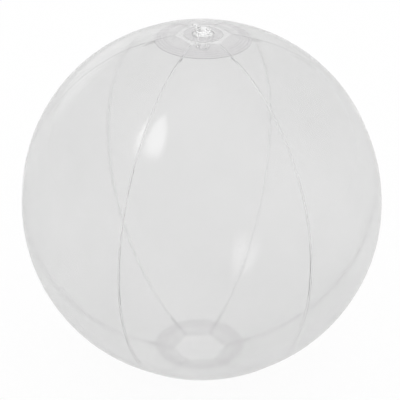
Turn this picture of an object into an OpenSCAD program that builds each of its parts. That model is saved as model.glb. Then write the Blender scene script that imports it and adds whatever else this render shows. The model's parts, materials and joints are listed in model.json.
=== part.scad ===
// Inflatable beach ball with a push-in valve, inflated and closed.
// Six film gores are welded edge to edge, and a round film disc closes each pole.
// The polar axis is Z. The origin is where the bottom disc touches the ground.

/* [Ball] */
// Diameter of the inflated ball over the gores
ball_d = 280; // [260:5:320]
// Thickness of the film
film_t = 0.25; // [0.2:0.05:0.3]
// Depth of the seam fins that are turned inside the ball
seam_fin_w = 2; // [1:0.5:4]

/* [Polar discs] */
// Diameter of the round film disc over each pole
disc_d = 72; // [64:2:84]
// Distance across the corners of the hexagon left open by the cut ends of the gores
gore_end_d = 42; // [40:1:54]
// Diameter of the hole for the valve in the top disc
valve_hole_d = 17; // [16:0.5:20]

/* [Valve] */
// Diameter of the flange welded under the top disc
flange_d = 30; // [26:1:36]
// Thickness of the flange
flange_t = 0.8; // [0.6:0.1:1.2]
// Inner diameter of the flange's neck
neck_d = 15; // [14:0.5:16]
// Outer diameter of the stem
stem_d = 9; // [8.5:0.5:10]
// Length of the stem
stem_l = 13.1; // [12:0.1:16]
// Diameter of the stem's bore, which takes the nozzle of a pump
bore_d = 5; // [4:0.5:5]
// Diameter of the wider mouth of the bore, which takes the plug
mouth_d = 6.1; // [6.1:0.1:6.3]
// Diameter of the lip around the mouth
lip_d = 11.6; // [11:0.2:13]

/* [Plug] */
// Diameter of the plug's cap
cap_d = 12; // [11.6:0.2:13]
// Thickness of the plug's cap
cap_t = 1.6; // [1.4:0.1:2]
// Distance from the stem's axis to the fold of the strap
strap_reach = 12; // [11:0.5:14]
// Width of the strap
strap_w = 3.2; // [2:0.2:4]
// Direction of the strap, counted from the X axis
strap_az = 120; // [0:5:355]

/* [Flap] */
// Diameter of the non-return flap
flap_d = 9.2; // [8.6:0.2:10]
// Thickness of the flap
flap_t = 0.5; // [0.4:0.1:0.8]

/* [Hidden] */
$fn = 128;

gores = 6;
gore_angle = 360 / gores;

// The gores' outer face lies on the sphere, and the discs lie on the gores.
ball_r = ball_d / 2;
centre_z = ball_r + film_t;
gore_end_r = gore_end_d / 2;
gore_end_flat = gore_end_r * cos(gore_angle / 2);
fin_start_r = gore_end_r + 1;

// Heights in the valve are counted from the inner face of the top disc at the axis.
pole_z = centre_z + ball_r;
lip_top = 1.6;
lip_t = 1.2;
stem_bottom = lip_top - stem_l;
mouth_depth = 4.4;
collar_d = stem_d + 1.8;
collar_t = 1;

neck_t = 0.8;
neck_bottom = -2;
skirt_t = 0.6;
skirt_foot_gap = 0.25;

face_gap = 0.1;
cap_bottom = lip_top + face_gap;
cap_dish_d = cap_d - 2.8;
cap_dish_depth = 0.5;
nose_l = 4;
nose_top_d = mouth_d - 0.1;
nose_tip_d = nose_top_d - 1.6;

strap_t = 0.8;
strap_joint_r = cap_d / 2 + 1;
strap_arch = 0.7;
strap_gap = 0.05;

flap_top = stem_bottom - face_gap;
flap_hinge_r = flap_d / 2 + 0.3;
flap_tab_w = 3;
flap_az = strap_az + 180;

cut_margin = 1;

// A spherical film's cross-section, from inner to outer radius and from x_min to x_max,
// on the upper side of the centre.
module cap_section(r_in, r_out, x_min, x_max) {
    intersection() {
        difference() {
            circle(r_out);
            circle(r_in);
        }
        translate([x_min, 0])
            square([x_max - x_min, r_out + cut_margin]);
    }
}

// The cross-section of a whole meridian's film, clear of the axis.
module meridian_section() {
    intersection() {
        difference() {
            circle(ball_r);
            circle(ball_r - film_t);
        }
        translate([gore_end_flat - cut_margin, -ball_r])
            square([ball_r, ball_d]);
    }
}

// One seam fin: a strip in the seam's plane, from the middle of the film inwards.
module seam_fin() {
    rotate([90, 0, 0])
        linear_extrude(film_t)
            intersection() {
                difference() {
                    circle(ball_r - film_t / 2);
                    circle(ball_r - film_t - seam_fin_w);
                }
                translate([fin_start_r, -ball_r])
                    square([ball_r, ball_d]);
            }
}

// One gore, from its first seam round to the next, with a fin along each edge.
// Both ends are cut straight across.
module gore(number) {
    start = (number - 1) * gore_angle;
    color([0.88, 0.89, 0.9, 0.35])
        translate([0, 0, centre_z])
            rotate([0, 0, start])
                union() {
                    difference() {
                        rotate_extrude(angle = gore_angle)
                            meridian_section();
                        rotate([0, 0, gore_angle / 2])
                            translate([gore_end_flat - ball_d, -ball_r, -ball_d])
                                cube([ball_d, ball_d, 2 * ball_d]);
                    }
                    translate([0, film_t, 0])
                        seam_fin();
                    rotate([0, 0, gore_angle])
                        seam_fin();
                }
}

module top_disc() {
    color([0.8, 0.81, 0.82, 0.5])
        translate([0, 0, centre_z])
            rotate_extrude()
                cap_section(ball_r, ball_r + film_t, valve_hole_d / 2, disc_d / 2);
}

module bottom_disc() {
    color([0.8, 0.81, 0.82, 0.5])
        translate([0, 0, centre_z])
            mirror([0, 0, 1])
                rotate_extrude()
                    cap_section(ball_r, ball_r + film_t, 0, disc_d / 2);
}

// The flange follows the inner face of the top disc, with a short neck around its hole.
module valve_flange() {
    neck_r = neck_d / 2;
    color([0.78, 0.79, 0.8, 0.7])
        union() {
            translate([0, 0, centre_z])
                rotate_extrude()
                    cap_section(ball_r - flange_t, ball_r, neck_r, flange_d / 2);
            translate([0, 0, pole_z + neck_bottom])
                rotate_extrude()
                    translate([neck_r, 0])
                        square([neck_t, -neck_bottom - flange_t / 2]);
        }
}

// The thin wall between the neck and the foot of the stem. It folds when the stem moves.
module valve_skirt() {
    top_r = neck_d / 2 + face_gap;
    foot_r = stem_d / 2 + skirt_foot_gap;
    foot_z = stem_bottom + collar_t;
    color([0.84, 0.85, 0.86, 0.6])
        translate([0, 0, pole_z])
            rotate_extrude()
                polygon([
                    [top_r, neck_bottom],
                    [top_r + skirt_t, neck_bottom],
                    [foot_r + skirt_t, foot_z],
                    [foot_r, foot_z]
                ]);
}

// A tube with a lip at its mouth, a collar at its foot, and the strap's lower run.
module valve_stem() {
    strap_z = lip_top - strap_gap - strap_t;
    color([0.85, 0.86, 0.87, 0.7])
        translate([0, 0, pole_z])
            difference() {
                union() {
                    translate([0, 0, stem_bottom])
                        cylinder(d = stem_d, h = stem_l);
                    translate([0, 0, lip_top - lip_t])
                        cylinder(d = lip_d, h = lip_t);
                    translate([0, 0, stem_bottom])
                        cylinder(d = collar_d, h = collar_t);
                    rotate([0, 0, strap_az])
                        translate([stem_d / 2, -strap_w / 2, strap_z])
                            cube([strap_reach - stem_d / 2, strap_w, strap_t]);
                }
                translate([0, 0, stem_bottom - cut_margin])
                    cylinder(d = bore_d, h = stem_l + 2 * cut_margin);
                translate([0, 0, lip_top - mouth_depth])
                    cylinder(d = mouth_d, h = mouth_depth + cut_margin);
            }
}

// A dished cap on a tapered nose, with a flat tab where the strap joins it.
module valve_plug() {
    color([0.92, 0.93, 0.94, 0.8])
        translate([0, 0, pole_z + cap_bottom])
            difference() {
                union() {
                    cylinder(d = cap_d, h = cap_t);
                    rotate([0, 0, strap_az])
                        translate([0, -strap_w / 2, 0])
                            cube([strap_joint_r, strap_w, strap_t]);
                    translate([0, 0, -nose_l])
                        cylinder(d1 = nose_tip_d, d2 = nose_top_d, h = nose_l);
                }
                translate([0, 0, cap_t - cap_dish_depth])
                    cylinder(d = cap_dish_d, h = cap_dish_depth + cut_margin);
            }
}

// The strap's upper run, slightly arched, from the plug's tab out to the fold.
module plug_strap() {
    mid_r = (strap_joint_r + strap_reach) / 2;
    color([0.92, 0.93, 0.94, 0.8])
        translate([0, 0, pole_z + cap_bottom])
            rotate([0, 0, strap_az])
                translate([0, strap_w / 2, 0])
                    rotate([90, 0, 0])
                        linear_extrude(strap_w)
                            polygon([
                                [strap_joint_r, 0],
                                [mid_r, strap_arch],
                                [strap_reach, 0],
                                [strap_reach, strap_t],
                                [mid_r, strap_t + strap_arch],
                                [strap_joint_r, strap_t]
                            ]);
}

// A thin disc under the bore, with a tab that is its hinge.
module non_return_flap() {
    color([0.9, 0.91, 0.92, 0.7])
        translate([0, 0, pole_z + flap_top - flap_t])
            rotate([0, 0, flap_az])
                linear_extrude(flap_t)
                    union() {
                        circle(d = flap_d);
                        translate([0, -flap_tab_w / 2])
                            square([flap_hinge_r, flap_tab_w]);
                    }
}

gore(1);  // gore_1
gore(2);  // gore_2
gore(3);  // gore_3
gore(4);  // gore_4
gore(5);  // gore_5
gore(6);  // gore_6
top_disc();
bottom_disc();
valve_flange();
valve_skirt();
valve_stem();
valve_plug();
plug_strap();
non_return_flap();
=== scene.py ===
import json
import math

import bmesh
import bpy
from mathutils import Matrix, Vector, noise

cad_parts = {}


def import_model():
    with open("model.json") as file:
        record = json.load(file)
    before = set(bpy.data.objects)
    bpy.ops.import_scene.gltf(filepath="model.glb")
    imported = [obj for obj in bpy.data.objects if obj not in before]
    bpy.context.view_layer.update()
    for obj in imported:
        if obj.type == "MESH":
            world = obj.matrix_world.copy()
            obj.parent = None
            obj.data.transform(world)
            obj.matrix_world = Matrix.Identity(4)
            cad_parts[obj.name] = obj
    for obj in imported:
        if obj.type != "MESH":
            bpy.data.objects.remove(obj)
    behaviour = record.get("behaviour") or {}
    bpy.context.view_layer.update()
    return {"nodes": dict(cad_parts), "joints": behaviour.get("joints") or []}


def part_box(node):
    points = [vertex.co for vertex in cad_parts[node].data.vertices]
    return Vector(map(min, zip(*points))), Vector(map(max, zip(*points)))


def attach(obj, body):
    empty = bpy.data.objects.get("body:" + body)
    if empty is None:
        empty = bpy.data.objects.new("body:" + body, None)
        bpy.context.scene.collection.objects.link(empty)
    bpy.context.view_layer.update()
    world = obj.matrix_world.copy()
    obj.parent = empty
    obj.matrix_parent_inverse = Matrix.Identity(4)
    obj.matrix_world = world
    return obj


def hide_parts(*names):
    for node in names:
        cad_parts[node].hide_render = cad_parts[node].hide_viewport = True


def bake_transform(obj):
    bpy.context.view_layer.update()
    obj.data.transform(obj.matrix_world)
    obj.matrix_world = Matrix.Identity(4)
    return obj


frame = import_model()
MM = 0.001

# ---------------------------------------------------------------- sizes, all worked out from the frame

joint = {j["name"]: j for j in frame["joints"]}

gore_low, gore_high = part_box("gore_1")
ball_r = gore_high.x
centre = Vector((0, 0, (gore_low.z + gore_high.z) / 2))
disc_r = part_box("top_disc")[1].x
film_t = centre.z - ball_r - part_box("bottom_disc")[0].z
flange_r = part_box("valve_flange")[1].x
skirt_low, skirt_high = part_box("valve_skirt")
stem_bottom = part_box("valve_stem")[0].z
plug_low, plug_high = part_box("valve_plug")
flap_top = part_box("non_return_flap")[1].z

GORES = 6
GORE_ANGLE = 2 * math.pi / GORES
pole_z = centre.z + ball_r
hinge = Vector(joint["plug_hinge"]["pos_m"])
strap_az = math.atan2(hinge.y, hinge.x)
strap_reach = math.hypot(hinge.x, hinge.y)
flap_hinge = Vector(joint["flap_hinge"]["pos_m"])
flap_az = math.atan2(flap_hinge.y, flap_hinge.x)


def inner_radius(node):
    """How near to the axis a CAD node comes."""
    return min(math.hypot(v.co.x, v.co.y) for v in frame["nodes"][node].data.vertices)


valve_hole_r = inner_radius("top_disc")
# The gores' straight cut ends leave a hexagon round each pole.
gore_end_flat = inner_radius("gore_1")
gore_end_r = gore_end_flat / math.cos(GORE_ANGLE / 2)


# ---------------------------------------------------------------- small helpers

def smoothstep(low, high, x):
    t = min(1.0, max(0.0, (x - low) / (high - low)))
    return t * t * (3 - 2 * t)


def ring_point(radius, az, z):
    return Vector((radius * math.cos(az), radius * math.sin(az), z))


def link(mesh, name):
    piece = bpy.data.objects.new(name, mesh)
    bpy.context.scene.collection.objects.link(piece)
    return piece


SHARP = math.cos(math.radians(40))
NEAR = 0.01 * MM


def shade(mesh):
    """Smooth shading that leaves a wide face flat beside a small bend, and that stops at a sharp edge."""
    normals = [face.normal.copy() for face in mesh.polygons]
    weighted = [face.normal * face.area for face in mesh.polygons]
    around = [[] for _ in mesh.vertices]
    for face in mesh.polygons:
        face.use_smooth = True
        for corner in face.vertices:
            around[corner].append(face.index)
    shaded = []
    for face in mesh.polygons:
        own = normals[face.index]
        for corner in face.vertices:
            total = Vector()
            for other in around[corner]:
                if own.dot(normals[other]) > SHARP:
                    total += weighted[other]
            shaded.append(total.normalized())
    mesh.normals_split_custom_set(shaded)


def mesh_piece(name, points, faces):
    mesh = bpy.data.meshes.new(name)
    mesh.from_pydata([tuple(p) for p in points], [], faces)
    mesh.validate()
    made = bmesh.new()
    made.from_mesh(mesh)
    bmesh.ops.remove_doubles(made, verts=made.verts, dist=1e-7)
    bmesh.ops.recalc_face_normals(made, faces=made.faces)
    made.to_mesh(mesh)
    made.free()
    shade(mesh)
    return link(mesh, name)


def grid_solid(outer, inner, wraps=False, tip=False):
    """The points and faces of a closed sheet whose outer and inner sides are grids of the same size.
    The rows of a grid that wraps go all the way round. Where it has a tip, all rows start at one point."""
    rows, cols = len(outer), len(outer[0])
    points = [p for row in outer for p in row] + [p for row in inner for p in row]
    back = rows * cols
    faces = []
    for i in range(rows if wraps else rows - 1):
        here, there = i * cols, (i + 1) % rows * cols
        for j in range(cols - 1):
            a, b, c, d = here + j, here + j + 1, there + j + 1, there + j
            faces.append((a, b, c, d))
            faces.append((back + d, back + c, back + b, back + a))
        for j in (cols - 1,) if tip else (0, cols - 1):
            faces.append((here + j, there + j, back + there + j, back + here + j))
    if not wraps:
        for j in range(cols - 1):
            for i in (0, rows - 1):
                a, b = i * cols + j, i * cols + j + 1
                faces.append((a, b, back + b, back + a))
    return points, faces


# ---------------------------------------------------------------- the inflated film's shape

# How far a gore's section bulges between its seams, and between which angles from a pole the bulge grows.
LOBE = 0.085
BULGE_START = math.radians(9)
BULGE_FULL = math.radians(40)
SEAM_LIFT = 0.002
DISC_SHOULDER = 0.5 * MM
PUCKER = 0.012 * MM
PUCKER_REACH = 7 * MM
PUCKER_WAVE = 8.5 * MM
RING_PUCKER_WAVES = 30
RING_PUCKER = 0.05 * MM
SWELL = 0.3 * MM


def from_seam(az):
    """The angle to the nearest seam, and that seam's number."""
    number = round(az / GORE_ANGLE)
    return abs(az - number * GORE_ANGLE), number % GORES


def lobe(az, theta):
    """How far a gore's cross-section bulges between its seams, as a share of the radius."""
    off, _ = from_seam(az)
    mid = GORE_ANGLE / 2 - off
    arc = 1 - LOBE
    share = LOBE * math.cos(mid) + math.sqrt(arc * arc - (LOBE * math.sin(mid)) ** 2)
    near_pole = smoothstep(BULGE_START, BULGE_FULL, min(theta, math.pi - theta))
    return 1 + (share + SEAM_LIFT - 1) * near_pole


def film_base(az, theta):
    """A point on the gores' outer face. theta is counted from the top pole."""
    radius = ball_r * math.sin(theta)
    shoulder = DISC_SHOULDER * math.exp(-(((radius - disc_r - 2 * MM) / (11 * MM)) ** 2))
    direction = Vector((math.sin(theta) * math.cos(az), math.sin(theta) * math.sin(az), math.cos(theta)))
    swell = SWELL * noise.noise(direction * 2.3 + Vector((3.1, 7.7, 1.9)))
    swell *= smoothstep(10 * MM, 60 * MM, radius)
    ripple = RING_PUCKER * math.exp(-(((radius - disc_r - 1.5 * MM) / (5 * MM)) ** 2))
    ripple *= math.sin(RING_PUCKER_WAVES * az + 2.5 * noise.noise(Vector((az * 3, theta, 5.0))))
    out = swell + ripple - shoulder
    wide = ball_r * lobe(az, theta) + out
    tall = ball_r + out
    return centre + Vector((wide * direction.x, wide * direction.y, tall * direction.z))


def pucker(number, theta, away):
    """The small waves that a seam draws into the film beside it."""
    along = theta * ball_r
    phase = 6 * noise.noise(Vector((along / (22 * MM), number * 9.0, 0.5)))
    strength = 0.55 + 0.6 * noise.noise(Vector((along / (35 * MM), number * 5.0, 8.5)))
    wave = math.sin(2 * math.pi * along / PUCKER_WAVE + phase)
    clear_of_disc = smoothstep(disc_r, disc_r + 15 * MM, ball_r * math.sin(theta))
    return PUCKER * strength * wave * math.exp(-away / PUCKER_REACH) * clear_of_disc


def film_normal(az, theta):
    step = 1e-3
    along = film_base(az, theta + step) - film_base(az, theta - step)
    across = film_base(az + step, theta) - film_base(az - step, theta)
    return along.cross(across).normalized()


# ---------------------------------------------------------------- gores

FIN_W = 2 * MM
FIN_GAP = 0.02 * MM
GROOVE_R = 0.12 * MM
INSIDE_BEND_R = 0.07 * MM
BEND_EDGE = 0.1 * MM
FIN_STEPS = 3
BEND_STEPS = 7
PANEL_COLUMNS = 26
SEAM_CROWDING = 0.115
ROWS = 240
ROWS_UNDER_DISC = 14
disc_theta = math.asin(disc_r / ball_r)


def row_theta(row, end):
    """The rows of a gore's grid run from the cut end to the disc's edge, and then evenly to the equator."""
    if row > ROWS / 2:
        return math.pi - row_theta(ROWS - row, end)
    if row <= ROWS_UNDER_DISC:
        return end + (disc_theta - end) * row / ROWS_UNDER_DISC
    return disc_theta + (math.pi / 2 - disc_theta) * (row - ROWS_UNDER_DISC) / (ROWS / 2 - ROWS_UNDER_DISC)


def gore_end(az):
    """Distance from the axis to the hexagon's straight side at an azimuth."""
    off, _ = from_seam(az)
    return gore_end_flat / math.cos(GORE_ANGLE / 2 - off)


def seam_edge():
    """The sheet's section beside a seam, from the fin's free edge over the bend to the panel.

    It comes as pairs of points, one on the sheet's outer side and one on its inner side. Each point is its
    distance from the seam's plane and its depth. The weld has melted the bend, so its outer side is rounder
    than its inner side."""
    fin_end = GROOVE_R + FIN_W
    inner_end = film_t + INSIDE_BEND_R
    pairs = []
    for k in range(FIN_STEPS):
        share = k / FIN_STEPS
        outer = (FIN_GAP, fin_end + (GROOVE_R - fin_end) * share)
        inner = (FIN_GAP + film_t, fin_end + (inner_end - fin_end) * share)
        pairs.append((outer, inner))
    for k in range(BEND_STEPS + 1):
        turn = math.pi / 2 * k / BEND_STEPS
        along, down = 1 - math.cos(turn), 1 - math.sin(turn)
        outer = (FIN_GAP + GROOVE_R * along, GROOVE_R * down)
        inner = (FIN_GAP + film_t + INSIDE_BEND_R * along, film_t + INSIDE_BEND_R * down)
        pairs.append((outer, inner))
    beside = GROOVE_R + BEND_EDGE
    pairs.append(((FIN_GAP + beside, 0.0), (FIN_GAP + inner_end + BEND_EDGE, film_t)))
    return pairs


def gore_sheet(number):
    first, last = number * GORE_ANGLE, (number + 1) * GORE_ANGLE
    edge = seam_edge()
    outer, inner = [], []
    for i in range(ROWS + 1):
        def at(az, depth):
            theta = row_theta(i, math.asin(gore_end(az) / ball_r))
            off, seam = from_seam(az)
            lift = pucker(seam, theta, off * ball_r * math.sin(theta))
            return film_base(az, theta) - film_normal(az, theta) * (depth - lift)

        seam_radius = ball_r * math.sin(row_theta(i, math.asin(gore_end_r / ball_r)))
        row_out = [at(first + away / seam_radius, depth) for (away, depth), _ in edge]
        row_in = [at(first + away / seam_radius, depth) for _, (away, depth) in edge]
        bend_angle = (FIN_GAP + GROOVE_R + BEND_EDGE) / seam_radius
        for k in range(1, PANEL_COLUMNS):
            u = k / PANEL_COLUMNS - SEAM_CROWDING * math.sin(2 * math.pi * k / PANEL_COLUMNS)
            az = first + bend_angle + (GORE_ANGLE - 2 * bend_angle) * u
            row_out.append(at(az, 0.0))
            row_in.append(at(az, film_t))
        row_out += [at(last - away / seam_radius, depth) for (away, depth), _ in reversed(edge)]
        row_in += [at(last - away / seam_radius, depth) for _, (away, depth) in reversed(edge)]
        outer.append(row_out)
        inner.append(row_in)
    return grid_solid(outer, inner)


FILM, FUSED, FIN, WELDED, BEND = range(5)


def gore_face(face):
    """The material of a gore's face: fused to the next gore, welded, on the groove's bend, in the fin or
    plain film."""
    radius = math.hypot(face.center.x, face.center.y)
    off, _ = from_seam(math.atan2(face.center.y, face.center.x) % (2 * math.pi))
    away = math.sin(off) * radius
    under_disc = radius < disc_r
    faces_out = face.normal.dot(face.center - centre) > 0.5 * ball_r
    at_cut = radius * math.cos(GORE_ANGLE / 2 - off) < gore_end_flat + 0.4 * film_t
    if away < 2 * FIN_GAP:
        return FUSED
    if at_cut or (under_disc and (faces_out or away < FIN_GAP + GROOVE_R)):
        return WELDED
    if away < FIN_GAP + GROOVE_R:
        return BEND
    return FIN if away < FIN_GAP + film_t + INSIDE_BEND_R else FILM


def gore(number):
    name = f"gore_{number + 1}"
    points, faces = gore_sheet(number)
    piece = mesh_piece(f"{name}_film", points, faces)
    for face in piece.data.polygons:
        face.material_index = gore_face(face)
    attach(piece, "shell")
    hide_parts(name)
    return piece


# ---------------------------------------------------------------- polar discs

WELD_INNER = 27.0 * MM
WELD_PITCH = 2.25 * MM
WELD_DEPTH = 0.03 * MM
DISC_GAP = 0.02 * MM
DISC_SEGMENTS = 240
DISC_INNER_RINGS = 8
DISC_GAP_RINGS = 3
DISC_OVERLAP_RINGS = 6
RINGS_PER_LINE = 6
SEAM_RIDGE = 0.05 * MM
SEAM_RIDGE_W = 0.9 * MM


def weld_line(radius):
    """Depth of the fine round lines that the weld presses into the disc."""
    if radius < WELD_INNER or radius > disc_r - 0.8 * MM:
        return 0.0
    return WELD_DEPTH * (0.5 + 0.5 * math.cos(2 * math.pi * (radius - WELD_INNER) / WELD_PITCH))


def spaced(start, stop, count):
    """Evenly spaced values from start up to, but not including, stop."""
    return [start + (stop - start) * k / count for k in range(count)]


def disc_radii(hole_r, az):
    """The rings of a disc's grid at an azimuth, round the hole, the flange, the hexagon and the weld."""
    hexagon = gore_end(az)
    weld_rings = round((disc_r - WELD_INNER) / WELD_PITCH * RINGS_PER_LINE)
    return (
        spaced(hole_r, flange_r, DISC_INNER_RINGS)
        + spaced(flange_r, hexagon, DISC_GAP_RINGS)
        + spaced(hexagon, WELD_INNER, DISC_OVERLAP_RINGS)
        + spaced(WELD_INNER, disc_r, weld_rings)
        + [disc_r]
    )


def disc_sheet(hole_r, top):
    outer, inner = [], []
    for k in range(DISC_SEGMENTS):
        az = 2 * math.pi * k / DISC_SEGMENTS
        off, _ = from_seam(az)
        row_out, row_in = [], []
        for radius in disc_radii(hole_r, az):
            theta = math.asin(radius / ball_r)
            if not top:
                theta = math.pi - theta
            normal = film_normal(az, theta) if radius > 1 * MM else Vector((0, 0, 1 if top else -1))
            base = film_base(az, theta)
            ridge = SEAM_RIDGE * math.exp(-((off * radius / SEAM_RIDGE_W) ** 2))
            ridge *= smoothstep(gore_end_r - 1 * MM, gore_end_r + 2 * MM, radius)
            row_in.append(base + normal * (DISC_GAP + ridge))
            row_out.append(base + normal * (film_t + ridge - weld_line(radius)))
        outer.append(row_out)
        inner.append(row_in)
    return grid_solid(outer, inner, wraps=True, tip=hole_r == 0)


PLAIN, WELD, CONTACT, CUT_EDGE = range(4)


def disc_face(face, top):
    """The material of a disc's face: cut edge, weld ring, contact with what is under it, or plain."""
    radius = math.hypot(face.center.x, face.center.y)
    if radius > disc_r - NEAR or (top and radius < valve_hole_r + NEAR):
        return CUT_EDGE
    if face.normal.dot(face.center - centre) > 0.5 * ball_r:
        return WELD if radius > WELD_INNER else PLAIN
    on_flange = top and valve_hole_r < radius < flange_r
    on_gores = radius > gore_end(math.atan2(face.center.y, face.center.x) % (2 * math.pi))
    return CONTACT if on_gores or on_flange else PLAIN


def disc(name, hole_r, top):
    points, faces = disc_sheet(hole_r, top)
    piece = mesh_piece(f"{name}_film", points, faces)
    for face in piece.data.polygons:
        face.material_index = disc_face(face, top)
    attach(piece, "shell")
    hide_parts(name)
    return piece


# ---------------------------------------------------------------- turned and swept pieces

CORNER_STEPS = 7
TURN_SEGMENTS = 128


def rounded(corners):
    """A closed outline of (radius, height), from corners of (radius, height, rounding). Each corner with a
    rounding is cut by a smooth curve."""
    outline = []
    for i, (x, z, rounding) in enumerate(corners):
        here = Vector((x, z))
        before = Vector(corners[i - 1][:2])
        after = Vector(corners[(i + 1) % len(corners)][:2])
        if rounding == 0:
            outline.append(here)
            continue
        start = here + (before - here).normalized() * min(rounding, (before - here).length * 0.48)
        stop = here + (after - here).normalized() * min(rounding, (after - here).length * 0.48)
        for k in range(CORNER_STEPS + 1):
            t = k / CORNER_STEPS
            outline.append(start * (1 - t) ** 2 + here * 2 * t * (1 - t) + stop * t * t)
    return [(p.x * MM, p.y * MM) for p in outline]


def turned(name, outline, closed=True):
    """A piece turned round the ball's axis. Heights are counted from the pole. An open outline starts and
    ends on the axis."""
    points, faces = [], []
    count = len(outline)
    for k in range(TURN_SEGMENTS):
        az = 2 * math.pi * k / TURN_SEGMENTS
        points += [ring_point(radius, az, pole_z + height) for radius, height in outline]
    spans = count if closed else count - 1
    for k in range(TURN_SEGMENTS):
        here, there = k * count, (k + 1) % TURN_SEGMENTS * count
        for i in range(spans):
            j = (i + 1) % count
            corners = [here + i, here + j, there + j, there + i]
            if not closed and i == 0:
                corners = [here, here + 1, there + 1]
            elif not closed and j == count - 1:
                corners = [here + i, here + j, there + i]
            faces.append(corners)
    return mesh_piece(name, points, faces)


def on_ball(sphere_r, radius):
    """Height above the pole, in mm, of a point on a sphere round the ball's centre."""
    return math.sqrt((sphere_r / MM) ** 2 - radius * radius) - ball_r / MM


def replace(piece, node, body):
    """Lets a piece stand for a CAD node. A piece with no body here is left unattached."""
    if body:
        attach(piece, body)
    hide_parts(node)
    return piece


# ---------------------------------------------------------------- valve

NECK_R = 7.5
NECK_WALL = 0.8
NECK_BOTTOM = (skirt_high.z - pole_z) / MM
FLANGE_T = 0.8
FLANGE_RINGS = 8
FLANGE_R = flange_r / MM
FLANGE_EDGE = 0.25
FLANGE_EDGE_ROUND = 0.1
STEM_R = 4.5
BORE_R = inner_radius("valve_stem") / MM
MOUTH_R = 3.05
MOUTH_DEPTH = 4.4
LIP_R = 5.8
LIP_TOP = (joint["plug_hinge"]["pos_m"][2] - pole_z) / MM
LIP_T = 1.2
COLLAR_R = 5.4
COLLAR_T = 1.0
STEM_BOTTOM = (stem_bottom - pole_z) / MM
CAP_R = 6.0
CAP_TOP = (plug_high.z - pole_z) / MM
CAP_T = 1.6
NOSE_BOTTOM = (plug_low.z - pole_z) / MM


FLANGE, UNDER_DISC, RIM, NECK = range(4)


def flange_face(face):
    """The material of a flange's face: its rim, its neck, its contact with the disc over it, or plain."""
    radius = math.hypot(face.center.x, face.center.y)
    faces_out = face.normal.dot(face.center - centre) > 0.5 * ball_r
    under_plate = pole_z + on_ball(ball_r - FLANGE_T * MM, NECK_R) * MM
    if radius > flange_r - (FLANGE_EDGE_ROUND + 0.02) * MM:
        return RIM
    if radius < (NECK_R + NECK_WALL) * MM + NEAR and face.center.z < under_plate:
        return NECK
    return UNDER_DISC if faces_out and radius > valve_hole_r else FLANGE


def valve_flange():
    top_ball, under_ball = ball_r, ball_r - FLANGE_T * MM
    arc = spaced(NECK_R, FLANGE_R, FLANGE_RINGS)
    corners = [(NECK_R, on_ball(top_ball, NECK_R), 0.35)]
    corners += [(r, on_ball(top_ball, r), 0) for r in arc[1:] + [FLANGE_R - FLANGE_EDGE]]
    corners += [(FLANGE_R, on_ball(ball, FLANGE_R), FLANGE_EDGE_ROUND) for ball in (top_ball, under_ball)]
    corners += [(r, on_ball(under_ball, r), 0) for r in [FLANGE_R - FLANGE_EDGE] + arc[:1:-1]]
    neck_outer = NECK_R + NECK_WALL
    corners += [(neck_outer, on_ball(under_ball, neck_outer), 0.3), (neck_outer, NECK_BOTTOM, 0.25)]
    corners += [(NECK_R, NECK_BOTTOM, 0.25)]
    piece = turned("valve_flange_ring", rounded(corners))
    for face in piece.data.polygons:
        face.material_index = flange_face(face)
    return replace(piece, "valve_flange", "shell")


SKIRT_T = 0.6
SKIRT_TOP_R = 7.9
SKIRT_BOTTOM_R = 5.05
SKIRT_ROWS = 28


def valve_skirt():
    top = NECK_BOTTOM
    bottom = (skirt_low.z - pole_z) / MM
    middle = []
    for k in range(SKIRT_ROWS + 1):
        t = k / SKIRT_ROWS
        radius = SKIRT_TOP_R + (SKIRT_BOTTOM_R - SKIRT_TOP_R) * smoothstep(0, 1, t)
        middle.append((radius, top + (bottom - top) * t))
    inner = [((r - SKIRT_T / 2) * MM, z * MM) for r, z in middle]
    outer = [((r + SKIRT_T / 2) * MM, z * MM) for r, z in reversed(middle)]
    piece = turned("valve_skirt_wall", inner + outer)
    replace(piece, "valve_skirt", None)
    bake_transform(piece)
    return piece


def valve_stem():
    corners = [
        (MOUTH_R, LIP_TOP, 0.4),
        (LIP_R, LIP_TOP, 0.5),
        (LIP_R, LIP_TOP - LIP_T, 0.4),
        (STEM_R, LIP_TOP - LIP_T, 0.25),
        (STEM_R, STEM_BOTTOM + COLLAR_T, 0.25),
        (COLLAR_R, STEM_BOTTOM + COLLAR_T, 0.45),
        (COLLAR_R, STEM_BOTTOM, 0.45),
        (BORE_R, STEM_BOTTOM, 0.25),
        (BORE_R, LIP_TOP - MOUTH_DEPTH, 0.15),
        (MOUTH_R, LIP_TOP - MOUTH_DEPTH, 0.12),
    ]
    return replace(turned("valve_stem_tube", rounded(corners)), "valve_stem", "valve")


CAP_DISH_R = 4.6
CAP_DISH_DEPTH = 0.5
NOSE_TOP_R = 3.0
NOSE_TIP_R = 2.2
NOSE_WALL = 0.8
NOSE_HOLLOW_TOP = 1.0


def valve_plug():
    corners = [
        (CAP_DISH_R - 0.5, CAP_TOP - CAP_DISH_DEPTH, 0.3),
        (CAP_DISH_R, CAP_TOP, 0.25),
        (CAP_R, CAP_TOP, 0.55),
        (CAP_R, CAP_TOP - CAP_T, 0.4),
        (NOSE_TOP_R, CAP_TOP - CAP_T, 0.2),
        (NOSE_TIP_R, NOSE_BOTTOM, 0.35),
        (NOSE_TIP_R - NOSE_WALL, NOSE_BOTTOM, 0.2),
        (NOSE_TOP_R - NOSE_WALL - 0.3, NOSE_HOLLOW_TOP, 0.3),
    ]
    on_axis_top = [(0.0, (CAP_TOP - CAP_DISH_DEPTH + 0.12) * MM)]
    on_axis_under = [(0.0, NOSE_HOLLOW_TOP * MM)]
    piece = turned("valve_plug_cap", on_axis_top + rounded(corners) + on_axis_under, closed=False)
    return replace(piece, "valve_plug", "plug")


STRAP_W = 3.2
STRAP_T = 0.8
STRAP_ARCH = 0.7
STRAP_STEPS = 14


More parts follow.
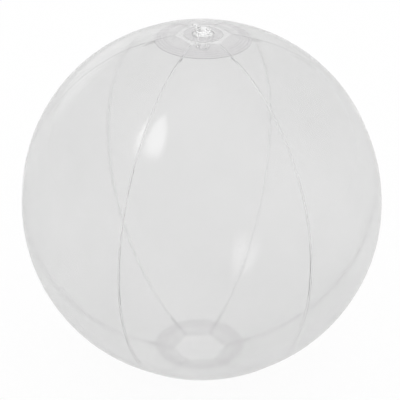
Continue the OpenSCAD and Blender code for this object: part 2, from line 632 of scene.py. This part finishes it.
def strap_middle():
    """The strap's own line, as (radius, height) in mm: out from the stem, round the fold, back to the cap."""
    reach = strap_reach / MM
    low = LIP_TOP - LIP_T / 2 - 0.05
    high = CAP_TOP - CAP_T + STRAP_T / 2 + 0.1
    fold = (high - low) / 2
    line = [(STEM_R - 0.3 + (reach - STEM_R + 0.3) * k / STRAP_STEPS, low) for k in range(STRAP_STEPS)]
    for k in range(STRAP_STEPS + 1):
        turn = math.pi * k / STRAP_STEPS
        line.append((reach + fold * math.sin(turn), low + fold * (1 - math.cos(turn))))
    inward = reach - CAP_R + 0.4
    for k in range(1, STRAP_STEPS + 1):
        t = k / STRAP_STEPS
        line.append((reach - inward * t, high + STRAP_ARCH * math.sin(math.pi * t)))
    return line


def strap_section():
    """The strap's cross-section, as (sideways, through) in mm: a band with round edges."""
    half, edge = STRAP_W / 2, STRAP_T / 2
    section = []
    for side in (1, -1):
        for k in range(7):
            turn = math.pi / 2 - math.pi * k / 6
            section.append((side * (half - edge + edge * math.cos(turn)), side * edge * math.sin(turn)))
    return section


def plug_strap():
    out = Vector((math.cos(strap_az), math.sin(strap_az), 0))
    across = Vector((-math.sin(strap_az), math.cos(strap_az), 0))
    up = Vector((0, 0, 1))
    line = [out * (r * MM) + up * (pole_z + z * MM) for r, z in strap_middle()]
    section = strap_section()
    points, faces = [], []
    for i, here in enumerate(line):
        along = (line[min(i + 1, len(line) - 1)] - line[max(i - 1, 0)]).normalized()
        through = along.cross(across)
        points += [here + across * (s * MM) + through * (t * MM) for s, t in section]
    ring = len(section)
    for i in range(len(line) - 1):
        for k in range(ring):
            a, b = i * ring + k, i * ring + (k + 1) % ring
            faces.append((a, b, b + ring, a + ring))
    faces.append(tuple(range(ring)))
    faces.append(tuple(range(len(points) - ring, len(points))))
    piece = mesh_piece("plug_strap_band", points, faces)
    replace(piece, "plug_strap", None)
    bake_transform(piece)
    return piece


FLAP_R = 4.6
FLAP_T = 0.5
FLAP_ROUND = 0.15
FLAP_TAB_W = 3.0
FLAP_TOP = (flap_top - pole_z) / MM


def non_return_flap():
    under = FLAP_TOP - FLAP_T
    edge = [(FLAP_R, FLAP_TOP, FLAP_ROUND), (FLAP_R, under, FLAP_ROUND)]
    rim = rounded(edge + [(0.2, under, 0), (0.2, FLAP_TOP, 0)])
    outline = [(0.0, FLAP_TOP * MM)] + rim[:-2] + [(0.0, under * MM)]
    piece = turned("non_return_flap_disc", outline, closed=False)
    # The rim beside the hinge is drawn out to it as a tab.
    reach = math.hypot(flap_hinge.x, flap_hinge.y)
    for corner in piece.data.vertices:
        radius = math.hypot(corner.co.x, corner.co.y)
        off = math.remainder(math.atan2(corner.co.y, corner.co.x) - flap_az, 2 * math.pi)
        on_rim = radius > (FLAP_R - 2 * FLAP_ROUND) * MM
        if on_rim and abs(reach * math.tan(off)) < FLAP_TAB_W / 2 * MM and abs(off) < 1:
            wider = reach / math.cos(off) / (FLAP_R * MM)
            corner.co.x *= wider
            corner.co.y *= wider
    return replace(piece, "non_return_flap", "flap")


# ---------------------------------------------------------------- materials

# How fine the noise is that makes the haze, the roughness, the ripple and the welds uneven.
HAZE_SCALE = 9.0
ROUGHNESS_SCALE = 26.0
RIPPLE_SCALE = 140.0
FINE_SCALE = 60.0
RIPPLE_STRENGTH = 0.02


def grey(level):
    return (level, level, level)


MILK = grey(0.5)
WHITE_MILK = grey(0.95)


def new_tree(name):
    material = bpy.data.materials.new(name)
    material.use_nodes = True
    tree = material.node_tree
    tree.nodes.clear()
    return material, tree


def node(tree, kind, **values):
    made = tree.nodes.new(kind)
    for key, value in values.items():
        if key in made.inputs:
            made.inputs[key].default_value = value
        else:
            setattr(made, key, value)
    return made


def noise_between(tree, where, scale, low, high, detail=3.0):
    """Soft noise, spread over the surface and scaled to lie between low and high."""
    cloud = node(tree, "ShaderNodeTexNoise", Scale=scale, Detail=detail)
    tree.links.new(where, cloud.inputs["Vector"])
    spread = node(tree, "ShaderNodeMapRange")
    spread.inputs["From Min"].default_value = 0.3
    spread.inputs["From Max"].default_value = 0.7
    spread.inputs["To Min"].default_value = low
    spread.inputs["To Max"].default_value = high
    tree.links.new(cloud.outputs["Fac"], spread.inputs["Value"])
    return spread.outputs["Result"]


def round_lines(tree, where, low, high):
    """The weld's fine round lines about the ball's axis: high on a line, and low between two lines."""
    join = tree.links.new
    flat = node(tree, "ShaderNodeVectorMath", operation="MULTIPLY")
    join(where, flat.inputs[0])
    flat.inputs[1].default_value = (1, 1, 0)
    radius = node(tree, "ShaderNodeVectorMath", operation="LENGTH")
    join(flat.outputs["Vector"], radius.inputs[0])
    from_first = node(tree, "ShaderNodeMath", operation="SUBTRACT")
    join(radius.outputs["Value"], from_first.inputs[0])
    from_first.inputs[1].default_value = WELD_INNER
    from_line = node(tree, "ShaderNodeMath", operation="PINGPONG")
    join(from_first.outputs[0], from_line.inputs[0])
    from_line.inputs[1].default_value = WELD_PITCH / 2
    spread = node(tree, "ShaderNodeMapRange", interpolation_type="SMOOTHSTEP")
    spread.inputs["From Min"].default_value = 0.0
    spread.inputs["From Max"].default_value = WELD_PITCH / 3
    spread.inputs["To Min"].default_value = high
    spread.inputs["To Max"].default_value = low
    join(from_line.outputs[0], spread.inputs["Value"])
    return spread.outputs["Result"]


def product(tree, one, other):
    made = node(tree, "ShaderNodeMath", operation="MULTIPLY")
    tree.links.new(one, made.inputs[0])
    tree.links.new(other, made.inputs[1])
    return made.outputs[0]


def mixed(tree, share, first, second):
    """Two shaders mixed by a share that is a number or an output."""
    made = node(tree, "ShaderNodeMixShader")
    if isinstance(share, float):
        made.inputs[0].default_value = share
    else:
        tree.links.new(share, made.inputs[0])
    tree.links.new(first, made.inputs[1])
    tree.links.new(second, made.inputs[2])
    return made.outputs[0]


def finished(material, tree, shader):
    out = node(tree, "ShaderNodeOutputMaterial")
    tree.links.new(shader, out.inputs["Surface"])
    return material


def glassy(tree, where, tint, roughness, ior):
    """The clear part of the vinyl, with uneven roughness and a fine ripple."""
    join = tree.links.new
    glass = node(tree, "ShaderNodeBsdfPrincipled", IOR=ior)
    glass.inputs["Base Color"].default_value = (*tint, 1)
    glass.inputs["Transmission Weight"].default_value = 1.0
    join(noise_between(tree, where, ROUGHNESS_SCALE, *roughness), glass.inputs["Roughness"])
    ripple = node(tree, "ShaderNodeBump", Strength=RIPPLE_STRENGTH, Distance=0.0002)
    join(noise_between(tree, where, RIPPLE_SCALE, 0.0, 1.0, detail=5.0), ripple.inputs["Height"])
    join(ripple.outputs["Normal"], glass.inputs["Normal"])
    return glass.outputs[0]


def milky(tree, colour):
    """The milky part: it sends light back and lets light through alike."""
    lit = node(tree, "ShaderNodeBsdfDiffuse", Color=(*colour, 1))
    passing = node(tree, "ShaderNodeBsdfTranslucent", Color=(*colour, 1))
    return mixed(tree, 0.5, lit.outputs[0], passing.outputs[0])


def longer_way(tree, slant):
    """1 where the sheet is seen square on, rising by slant to where it is seen edge on."""
    facing = node(tree, "ShaderNodeLayerWeight", Blend=0.5)
    longer = node(tree, "ShaderNodeMath", operation="MULTIPLY_ADD")
    tree.links.new(facing.outputs["Facing"], longer.inputs[0])
    longer.inputs[1].default_value = slant
    longer.inputs[2].default_value = 1.0
    return longer.outputs[0]


def clear_vinyl(name, tint, haze, milk_colour, roughness, shadow, ior=1.5, lines=None, slant=0.0):
    """Clear soft vinyl: glass-like, tinted a little, with a milky haze in it.

    Lines make the haze denser on the weld's lines. Slant makes it denser where the sheet is seen at a slant,
    because more of the sheet lies on the way. Shadow is the tint of the light that passes it in a shadow."""
    material, tree = new_tree(name)
    where = node(tree, "ShaderNodeTexCoord").outputs["Object"]
    glass = glassy(tree, where, tint, roughness, ior)
    milk = milky(tree, milk_colour)
    cloudy = noise_between(tree, where, HAZE_SCALE, haze * 0.7, haze * 1.3)
    if lines:
        cloudy = product(tree, cloudy, round_lines(tree, where, *lines))
    if slant:
        cloudy = product(tree, cloudy, longer_way(tree, slant))
    body = mixed(tree, cloudy, glass, milk)
    path = node(tree, "ShaderNodeLightPath")
    clear = node(tree, "ShaderNodeBsdfTransparent", Color=(*shadow, 1))
    return finished(material, tree, mixed(tree, path.outputs["Is Shadow Ray"], body, clear.outputs[0]))


def fused_vinyl(name, tint, milk_low, milk_high):
    """Where two sheets are welded face to face, nothing is left between them to bend the light."""
    material, tree = new_tree(name)
    where = node(tree, "ShaderNodeTexCoord").outputs["Object"]
    clear = node(tree, "ShaderNodeBsdfTransparent", Color=(*tint, 1))
    milk = node(tree, "ShaderNodeBsdfTranslucent", Color=(0.9, 0.9, 0.9, 1))
    cloudy = noise_between(tree, where, FINE_SCALE, milk_low, milk_high)
    return finished(material, tree, mixed(tree, cloudy, clear.outputs[0], milk.outputs[0]))


def cut_vinyl(name, level):
    """The cut edge of a sheet: too rough to see through, so it only glows with the light around it."""
    material, tree = new_tree(name)
    join = tree.links.new
    where = node(tree, "ShaderNodeTexCoord").outputs["Object"]
    tone = node(tree, "ShaderNodeCombineColor")
    uneven = noise_between(tree, where, FINE_SCALE, level * 0.97, level)
    for channel in ("Red", "Green", "Blue"):
        join(uneven, tone.inputs[channel])
    lit = node(tree, "ShaderNodeBsdfDiffuse")
    passing = node(tree, "ShaderNodeBsdfTranslucent")
    join(tone.outputs[0], lit.inputs["Color"])
    join(tone.outputs[0], passing.inputs["Color"])
    return finished(material, tree, mixed(tree, 0.5, lit.outputs[0], passing.outputs[0]))


def paint(pieces, *materials):
    for piece in pieces:
        slots = [face.material_index for face in piece.data.polygons]
        piece.data.materials.clear()
        for material in materials:
            piece.data.materials.append(material)
        piece.data.polygons.foreach_set("material_index", slots)


# ---------------------------------------------------------------- the ball

gores = [gore(n) for n in range(GORES)]
discs = [disc("top_disc", valve_hole_r, True), disc("bottom_disc", 0.0, False)]
flange, skirt, stem = valve_flange(), valve_skirt(), valve_stem()
plug = [valve_plug(), plug_strap()]
flap = non_return_flap()

cut_edge = cut_vinyl("cut_edge", 0.96)
weld_contact = fused_vinyl("weld_contact", (0.955, 0.952, 0.955), 0.0, 0.02)


def paint_gores():
    """The materials come in the order FILM, FUSED, FIN, WELDED, BEND."""
    paint(
        gores,
        clear_vinyl("gore_film", grey(0.917), 0.066, MILK, (0.05, 0.065), grey(0.93), slant=1.6),
        fused_vinyl("seam_contact", grey(0.995), 0.0, 0.015),
        clear_vinyl("seam_fin", grey(0.995), 0.004, MILK, (0.055, 0.075), grey(0.95)),
        weld_contact,
        clear_vinyl("seam_bend", grey(0.55), 0.01, MILK, (0.2, 0.28), grey(0.95)),
    )


def paint_discs():
    """The materials come in the order PLAIN, WELD, CONTACT, CUT_EDGE."""
    weld_tint = (0.945, 0.938, 0.945)
    paint(
        discs,
        clear_vinyl("disc_film", grey(0.95), 0.065, MILK, (0.06, 0.08), grey(0.93)),
        clear_vinyl("disc_weld", weld_tint, 0.11, MILK, (0.06, 0.09), grey(0.93), lines=(1.0, 2.4)),
        weld_contact,
        cut_edge,
    )


def paint_valve():
    """The flange's materials come in the order FLANGE, UNDER_DISC, RIM, NECK."""
    fine = (0.03, 0.06)
    paint(
        [flange],
        clear_vinyl("flange_vinyl", (0.75, 0.745, 0.75), 0.06, WHITE_MILK, fine, grey(0.95)),
        weld_contact,
        cut_edge,
        clear_vinyl("neck_vinyl", grey(0.99), 0.1, WHITE_MILK, fine, grey(0.95)),
    )
    paint([skirt], clear_vinyl("skirt_vinyl", grey(0.99), 0.03, WHITE_MILK, fine, grey(0.97), ior=1.2))
    paint([stem], clear_vinyl("valve_vinyl", grey(0.99), 0.15, WHITE_MILK, (0.06, 0.1), grey(0.95), ior=1.2))


def paint_plug_and_flap():
    paint(plug, clear_vinyl("plug_vinyl", grey(0.99), 0.08, WHITE_MILK, (0.05, 0.08), grey(0.95), ior=1.35))
    paint([flap], clear_vinyl("flap_vinyl", grey(0.99), 0.06, WHITE_MILK, (0.04, 0.08), grey(0.95), ior=1.4))


paint_gores()
paint_discs()
paint_valve()
paint_plug_and_flap()


# ---------------------------------------------------------------- floor, light and camera

def view_axes(azimuth, elevation):
    """The directions from the ball to the camera, to the picture's right and to its top."""
    level = math.cos(elevation)
    back = Vector((level * math.cos(azimuth), level * math.sin(azimuth), math.sin(elevation)))
    right = Vector((0, 0, 1)).cross(back).normalized()
    return back, right, back.cross(right)


FLOOR_HALF = 6.0
FLOOR_GLOW = 0.93


def floor():
    """A pale floor that glows nearly as brightly as the white around it, so that its edge isn't seen."""
    mesh = bpy.data.meshes.new("floor")
    corners = [(x * FLOOR_HALF, y * FLOOR_HALF, 0) for x, y in ((-1, -1), (1, -1), (1, 1), (-1, 1))]
    mesh.from_pydata(corners, [], [(0, 1, 2, 3)])
    plane = link(mesh, "floor")
    material, tree = new_tree("floor")
    matt = node(tree, "ShaderNodeBsdfDiffuse", Color=(*grey(0.93), 1))
    glow = node(tree, "ShaderNodeEmission", Color=(1, 1, 1, 1), Strength=1.0)
    mesh.materials.append(finished(material, tree, mixed(tree, FLOOR_GLOW, matt.outputs[0], glow.outputs[0])))


def world():
    surroundings = bpy.data.worlds.new("studio")
    surroundings.use_nodes = True
    background = surroundings.node_tree.nodes["Background"]
    background.inputs["Color"].default_value = (1, 1, 1, 1)
    background.inputs["Strength"].default_value = 1.0
    bpy.context.scene.world = surroundings


def soften(light, taper):
    """Lets a softbox's glow fade towards its edges, and narrows it towards its top by the taper."""
    light.use_nodes = True
    tree = light.node_tree
    join = tree.links.new
    place = node(tree, "ShaderNodeSeparateXYZ")
    join(node(tree, "ShaderNodeNewGeometry").outputs["Parametric"], place.inputs[0])
    width = node(tree, "ShaderNodeMapRange")
    width.inputs["To Min"].default_value = 1.0
    width.inputs["To Max"].default_value = taper
    join(place.outputs["Y"], width.inputs["Value"])
    sideways = node(tree, "ShaderNodeMath", operation="SUBTRACT")
    join(place.outputs["X"], sideways.inputs[0])
    sideways.inputs[1].default_value = 0.5
    across = node(tree, "ShaderNodeMath", operation="DIVIDE")
    join(sideways.outputs[0], across.inputs[0])
    join(width.outputs["Result"], across.inputs[1])
    spot = node(tree, "ShaderNodeCombineXYZ")
    join(across.outputs[0], spot.inputs[0])
    join(place.outputs["Y"], spot.inputs[1])
    out = node(tree, "ShaderNodeVectorMath", operation="DISTANCE")
    join(spot.outputs[0], out.inputs[0])
    out.inputs[1].default_value = (0.0, 0.5, 0.0)
    fade = node(tree, "ShaderNodeMapRange", interpolation_type="SMOOTHSTEP")
    fade.inputs["From Min"].default_value = 0.5
    fade.inputs["From Max"].default_value = 0.2
    join(out.outputs["Value"], fade.inputs["Value"])
    join(fade.outputs["Result"], tree.nodes["Emission"].inputs["Strength"])


def softbox(name, direction, distance, size, radiance, roll=0.0, taper=1.0):
    """A soft light that faces the ball's centre from a direction and a distance."""
    light = bpy.data.lights.new(name, "AREA")
    soften(light, taper)
    light.shape = "RECTANGLE"
    light.size, light.size_y = size
    light.energy = radiance * math.pi * light.size * light.size_y
    lamp = bpy.data.objects.new(name, light)
    bpy.context.scene.collection.objects.link(lamp)
    direction = direction.normalized()
    side = Vector((0, 0, 1)).cross(direction).normalized()
    turn = Matrix((side, direction.cross(side), direction)).transposed() @ Matrix.Rotation(roll, 3, "Z")
    lamp.matrix_world = Matrix.Translation(centre + direction * distance) @ turn.to_4x4()
    return lamp


VIEW_AZ = math.radians(-95.07)
VIEW_EL = math.radians(28.9)
VIEW_DISTANCE = 8.7
VIEW_ROLL = math.radians(0.63)
LENS = 140.8
# The ball's centre isn't quite in the middle of the picture. These are shares of its radius.
AIM_LEFT = 0.0071
AIM_DOWN = 0.0034

back, right, up = view_axes(VIEW_AZ, VIEW_EL)


def camera():
    data = bpy.data.cameras.new("camera")
    data.lens = LENS
    data.sensor_width = 36
    eye = bpy.data.objects.new("camera", data)
    bpy.context.scene.collection.objects.link(eye)
    aim = centre - right * AIM_LEFT * ball_r - up * AIM_DOWN * ball_r
    place = aim + back * VIEW_DISTANCE * ball_r
    turn = Matrix((right, up, back)).transposed() @ Matrix.Rotation(VIEW_ROLL, 3, "Z")
    eye.matrix_world = Matrix.Translation(place) @ turn.to_4x4()
    bpy.context.scene.camera = eye


def lights():
    """The key makes the highlights on the upper left gore. The rim light, behind the ball, lifts its edge."""
    key_tilt = math.radians(51)
    key_direction = back * math.cos(key_tilt) + (up * 0.726 - right * 0.58) * math.sin(key_tilt)
    softbox("key_softbox", key_direction, 6.0, (2.9, 3.9), 2.15, roll=math.radians(32), taper=0.25)
    rim_tilt = math.radians(136)
    rim_direction = back * math.cos(rim_tilt) + (up * 0.78 - right * 0.62) * math.sin(rim_tilt)
    rim = softbox("rim_softbox", rim_direction, 4.0, (3.6, 2.0), 0.35)
    rim.visible_transmission = False


def light_paths():
    """Light crosses many layers of film on its way through the ball, so it may be bent often."""
    scene = bpy.context.scene
    scene.view_settings.view_transform = "Standard"
    scene.cycles.max_bounces = 64
    scene.cycles.transmission_bounces = 64
    scene.cycles.transparent_max_bounces = 32


floor()
world()
lights()
camera()
light_paths()
